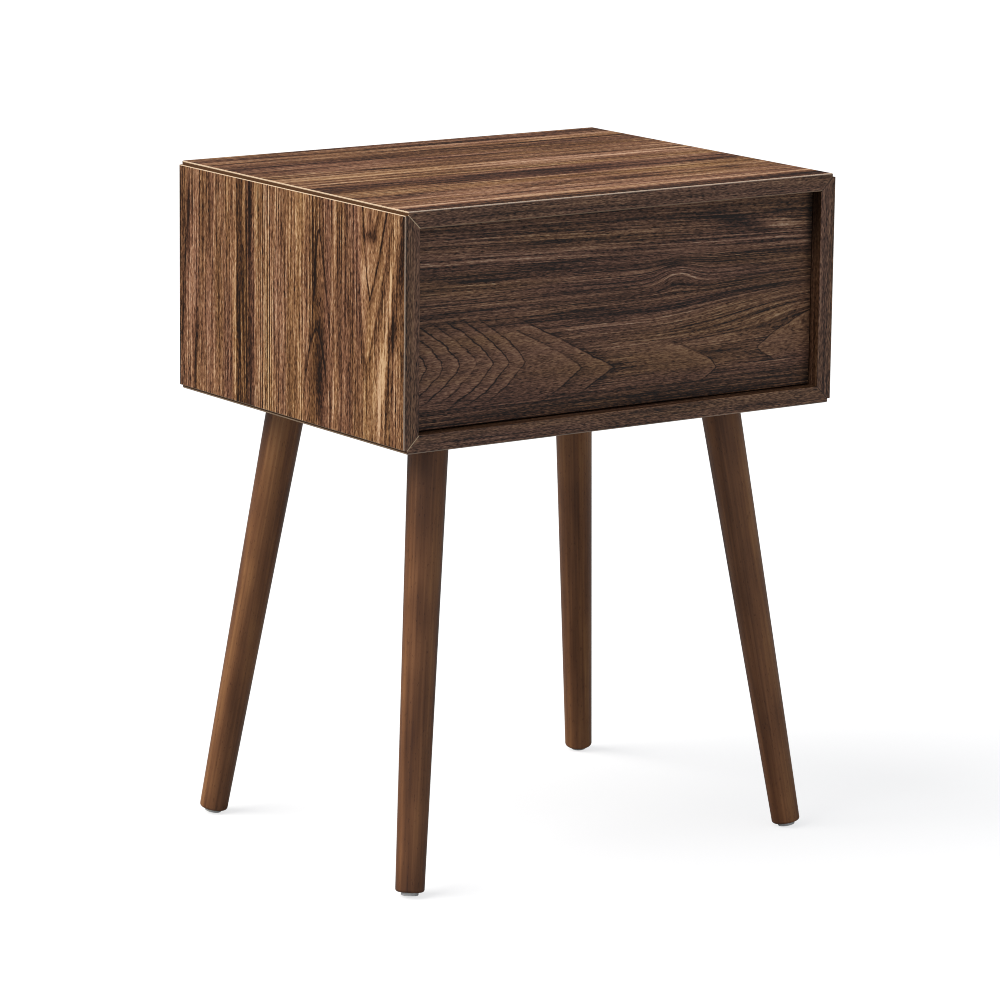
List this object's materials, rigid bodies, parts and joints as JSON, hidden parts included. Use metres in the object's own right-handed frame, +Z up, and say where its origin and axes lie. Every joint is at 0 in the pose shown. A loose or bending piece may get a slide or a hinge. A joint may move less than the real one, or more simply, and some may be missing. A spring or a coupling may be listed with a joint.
{
  "type": "side table with drawer",
  "caption": "Side table: a box case with mitred boards and a recessed handleless push-to-open drawer, on splayed tapered round wooden legs.",
  "frame": {"origin": "on the floor, under the middle of the case", "axes": "+Z up, the drawer opens towards -Y, +X is the right-hand side seen from the front"},
  "size_m": [0.45, 0.354, 0.588],
  "materials": {
    "walnut_veneer": "satin walnut veneer on fibreboard",
    "walnut_edge_band": "satin walnut edge band",
    "stained_beech": "satin brown stain",
    "drawer_board": "lacquered birch plywood",
    "drawer_hardboard": "smooth hardboard",
    "joint_wood": "bare beech",
    "zinc_steel": "zinc plated",
    "slide_steel": "zinc plated, rolled",
    "ball_steel": "polished balls in a pressed cage",
    "spring_steel": "bright",
    "glide_plastic": "translucent white",
    "latch_plastic": "moulded grey",
    "plunger_plastic": "moulded white"
  },
  "bodies": {
    "case": {"case_top": "walnut_veneer", "case_bottom": "walnut_veneer", "case_left_side": "walnut_veneer", "case_right_side": "walnut_veneer", "back_panel": "walnut_veneer", "front_band_top": "walnut_edge_band", "front_band_bottom": "walnut_edge_band", "front_band_left": "walnut_edge_band", "front_band_right": "walnut_edge_band", "rear_band_top": "walnut_edge_band", "rear_band_bottom": "walnut_edge_band", "rear_band_left": "walnut_edge_band", "rear_band_right": "walnut_edge_band", "mitre_splines": "joint_wood", "front_left_leg": "stained_beech", "front_right_leg": "stained_beech", "back_left_leg": "stained_beech", "back_right_leg": "stained_beech", "front_left_leg_plate": "zinc_steel", "front_right_leg_plate": "zinc_steel", "back_left_leg_plate": "zinc_steel", "back_right_leg_plate": "zinc_steel", "leg_plate_nuts": "zinc_steel", "leg_hanger_bolts": "zinc_steel", "leg_plate_screws": "zinc_steel", "front_left_glide": "glide_plastic", "front_right_glide": "glide_plastic", "back_left_glide": "glide_plastic", "back_right_glide": "glide_plastic", "glide_nails": "zinc_steel", "left_cabinet_slide": "slide_steel", "right_cabinet_slide": "slide_steel", "cabinet_slide_screws": "zinc_steel", "latch_housing": "latch_plastic", "latch_spring": "spring_steel", "latch_screws": "zinc_steel"},
    "drawer": {"drawer_front": "walnut_veneer", "drawer_inner_front": "drawer_board", "drawer_left_side": "drawer_board", "drawer_right_side": "drawer_board", "drawer_back": "drawer_board", "drawer_bottom": "drawer_hardboard", "drawer_dowels": "joint_wood", "drawer_front_screws": "zinc_steel", "left_drawer_slide": "slide_steel", "right_drawer_slide": "slide_steel", "drawer_slide_screws": "zinc_steel", "strike_plate": "zinc_steel", "strike_plate_screws": "zinc_steel"},
    "left_middle": {"left_middle_slide": "slide_steel"},
    "right_middle": {"right_middle_slide": "slide_steel"},
    "left_outer_balls": {"left_outer_ball_cage": "ball_steel"},
    "left_inner_balls": {"left_inner_ball_cage": "ball_steel"},
    "right_outer_balls": {"right_outer_ball_cage": "ball_steel"},
    "right_inner_balls": {"right_inner_ball_cage": "ball_steel"},
    "plunger": {"latch_plunger": "plunger_plastic", "latch_magnet": "spring_steel"}
  },
  "joints": [
    {"name": "drawer_slide", "type": "slide", "parent": "case", "child": "drawer", "axis": [0, -1, 0], "range_m": [-0.0025, 0.24]},
    {"name": "left_middle_travel", "type": "slide", "parent": "case", "child": "left_middle", "axis": [0, -1, 0], "range_m": [-0.00125, 0.12]},
    {"name": "right_middle_travel", "type": "slide", "parent": "case", "child": "right_middle", "axis": [0, -1, 0], "range_m": [-0.00125, 0.12]},
    {"name": "left_outer_ball_travel", "type": "slide", "parent": "case", "child": "left_outer_balls", "axis": [0, -1, 0], "range_m": [-0.00063, 0.06]},
    {"name": "right_outer_ball_travel", "type": "slide", "parent": "case", "child": "right_outer_balls", "axis": [0, -1, 0], "range_m": [-0.00063, 0.06]},
    {"name": "left_inner_ball_travel", "type": "slide", "parent": "case", "child": "left_inner_balls", "axis": [0, -1, 0], "range_m": [-0.00187, 0.18]},
    {"name": "right_inner_ball_travel", "type": "slide", "parent": "case", "child": "right_inner_balls", "axis": [0, -1, 0], "range_m": [-0.00187, 0.18]},
    {"name": "latch_plunger_travel", "type": "slide", "parent": "case", "child": "plunger", "axis": [0, -1, 0], "range_m": [-0.00025, 0.02]}
  ],
  "couplings": [
    {"joint": "left_middle_travel", "follows": "drawer_slide", "ratio": 0.5},
    {"joint": "right_middle_travel", "follows": "drawer_slide", "ratio": 0.5},
    {"joint": "left_outer_ball_travel", "follows": "drawer_slide", "ratio": 0.25},
    {"joint": "right_outer_ball_travel", "follows": "drawer_slide", "ratio": 0.25},
    {"joint": "left_inner_ball_travel", "follows": "drawer_slide", "ratio": 0.75},
    {"joint": "right_inner_ball_travel", "follows": "drawer_slide", "ratio": 0.75},
    {"joint": "latch_plunger_travel", "follows": "drawer_slide", "ratio": 0.0833}
  ]
}
